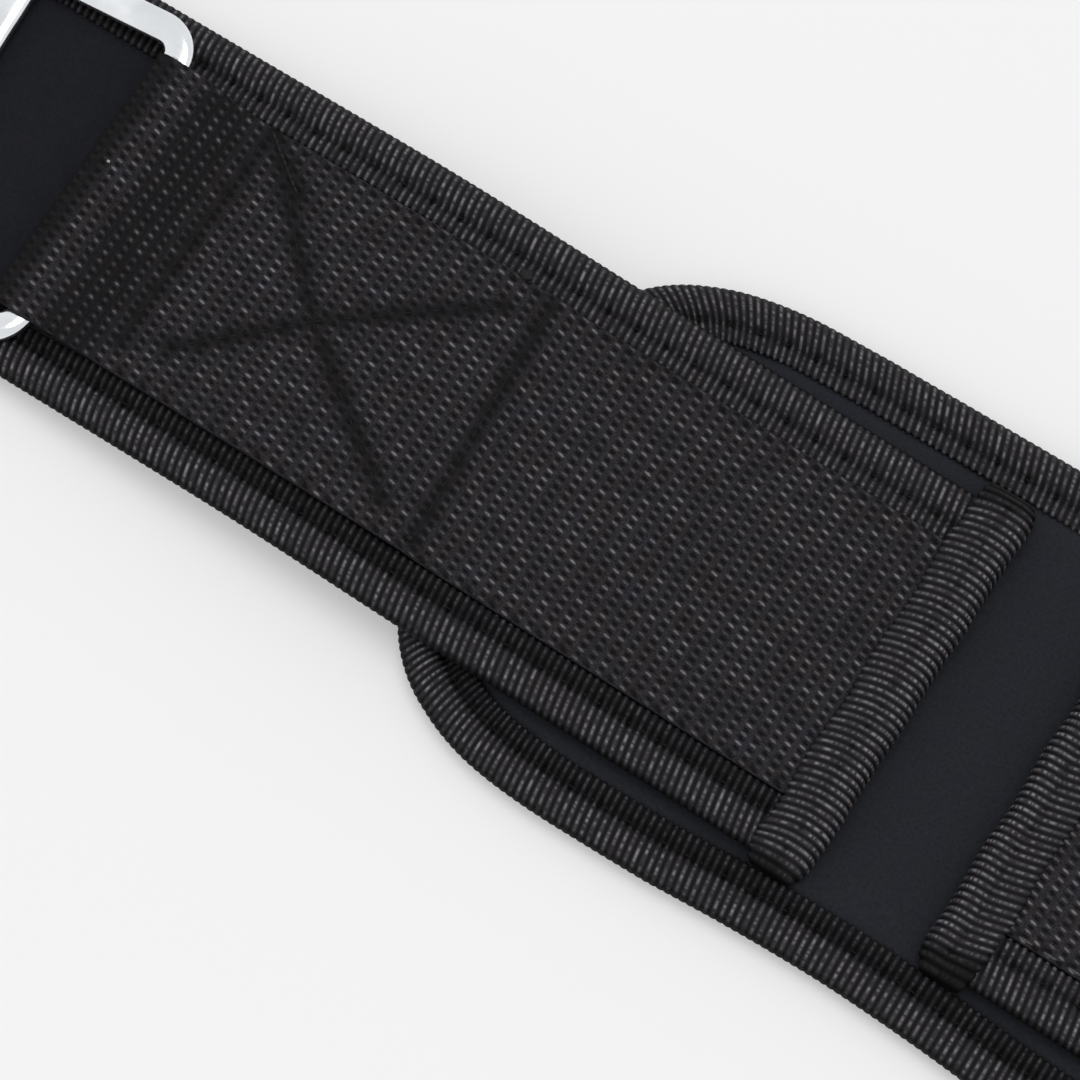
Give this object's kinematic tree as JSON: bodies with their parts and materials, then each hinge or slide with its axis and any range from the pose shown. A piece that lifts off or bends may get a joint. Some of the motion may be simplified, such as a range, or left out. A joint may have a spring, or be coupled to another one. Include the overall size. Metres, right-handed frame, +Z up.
{
  "type": "padded weightlifting belt",
  "caption": "Padded fabric lifting belt lying open: bound lumbar pad, foam wings, wide webbing folded through a metal ring, and a free closing strap with fastening patches.",
  "frame": {"origin": "on the surface the belt lies on, under the middle of the lumbar pad, in the pad's flat underside", "axes": "+X along the belt towards the free end of the closing strap, +Y across the belt towards its upper edge as worn, +Z up, out of the belt's outer face"},
  "size_m": [0.9697, 0.1501, 0.022],
  "materials": {
    "smooth_cover": "matt, very fine knit over foam, blue-black",
    "ribbed_binding": "ribbed grosgrain tape, black with a soft sheen on the ribs",
    "webbing": "coarse woven nylon webbing, black",
    "ring_metal": "polished nickel or chrome plate",
    "fastening_patch": "matt black hook and loop pile"
  },
  "bodies": {
    "belt": {"lumbar_pad": "smooth_cover", "pad_binding": "ribbed_binding", "wing_left": "smooth_cover", "wing_right": "smooth_cover", "wing_binding_left": "ribbed_binding", "wing_binding_right": "ribbed_binding", "end_tape_left": "ribbed_binding", "end_tape_right": "ribbed_binding", "webbing_left": "webbing", "closure_strap": "webbing", "loop_patch": "fastening_patch", "hook_patch": "fastening_patch"},
    "ring": {"ring": "ring_metal"}
  },
  "joints": [
    {"name": "ring_swing", "type": "hinge", "parent": "belt", "child": "ring", "pos_m": [-0.26367, 0.00075, 0.01656], "axis": [-0.061, 0.9981, 0], "range_deg": [0, 170]}
  ]
}
